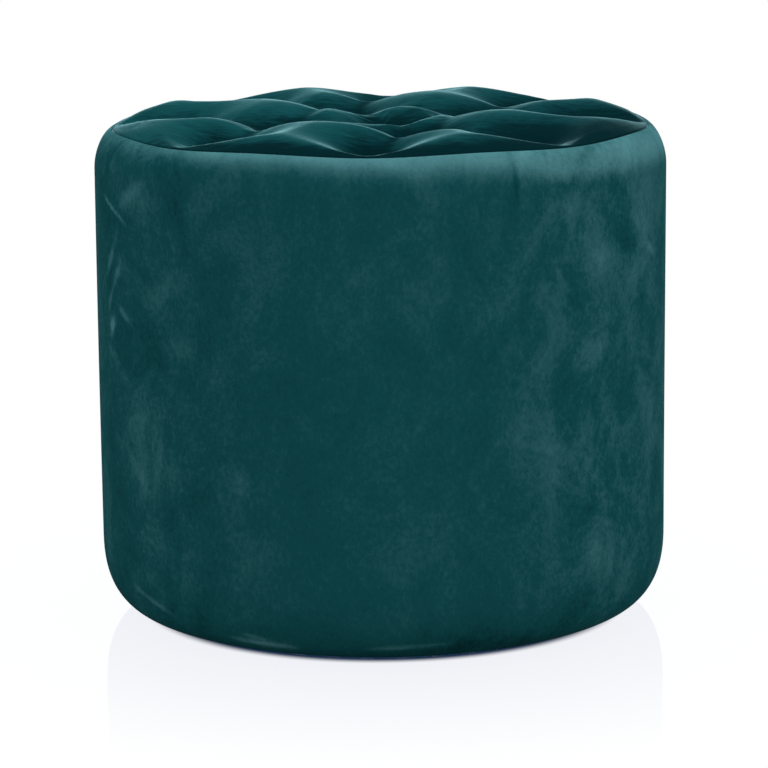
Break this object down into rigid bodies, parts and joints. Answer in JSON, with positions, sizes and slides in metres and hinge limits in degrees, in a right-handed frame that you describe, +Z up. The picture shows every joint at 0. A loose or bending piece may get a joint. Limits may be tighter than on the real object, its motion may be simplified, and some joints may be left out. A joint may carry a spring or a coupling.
{
  "type": "upholstered pouf",
  "caption": "Round upholstered pouf: a plain velvet drum with a deeply tufted, pillowed top and rounded rims, built on a timber frame with foam.",
  "frame": {"origin": "on the drum's axis at floor level, under the middle of the glides", "axes": "+Z up; the side that the picture shows faces -Y and its right is +X"},
  "size_m": [0.4996, 0.4996, 0.4469],
  "materials": {
    "velvet": "soft teal velvet with a brushed pile",
    "foam": "matt open-cell foam",
    "fibreboard": "smooth brown hardboard",
    "plywood": "sanded birch plywood",
    "pine": "planed pine",
    "steel": "zinc plated",
    "twine": "waxed tufting twine",
    "dust_cloth": "black non-woven cloth",
    "plastic": "matt black"
  },
  "bodies": {
    "root": {"velvet_top_panel": "velvet", "velvet_side_cover": "velvet", "tuft_button_01": "velvet", "tuft_button_02": "velvet", "tuft_button_03": "velvet", "tuft_button_04": "velvet", "tuft_button_05": "velvet", "tuft_button_06": "velvet", "tuft_button_07": "velvet", "tuft_button_08": "velvet", "tuft_button_09": "velvet", "tuft_button_10": "velvet", "tuft_button_11": "velvet", "tuft_button_12": "velvet", "tuft_button_13": "velvet", "seat_foam": "foam", "side_foam": "foam", "side_wall": "fibreboard", "seat_deck": "plywood", "base_board": "plywood", "frame_post_1": "pine", "frame_post_2": "pine", "frame_post_3": "pine", "frame_post_4": "pine", "deck_screw_1": "steel", "deck_screw_2": "steel", "deck_screw_3": "steel", "deck_screw_4": "steel", "base_screw_1": "steel", "base_screw_2": "steel", "base_screw_3": "steel", "base_screw_4": "steel", "tuft_twine_01": "twine", "tuft_twine_02": "twine", "tuft_twine_03": "twine", "tuft_twine_04": "twine", "tuft_twine_05": "twine", "tuft_twine_06": "twine", "tuft_twine_07": "twine", "tuft_twine_08": "twine", "tuft_twine_09": "twine", "tuft_twine_10": "twine", "tuft_twine_11": "twine", "tuft_twine_12": "twine", "tuft_twine_13": "twine", "dust_cover": "dust_cloth", "glide_1": "plastic", "glide_2": "plastic", "glide_3": "plastic", "glide_4": "plastic", "glide_5": "plastic", "glide_6": "plastic"}
  },
  "joints": []
}
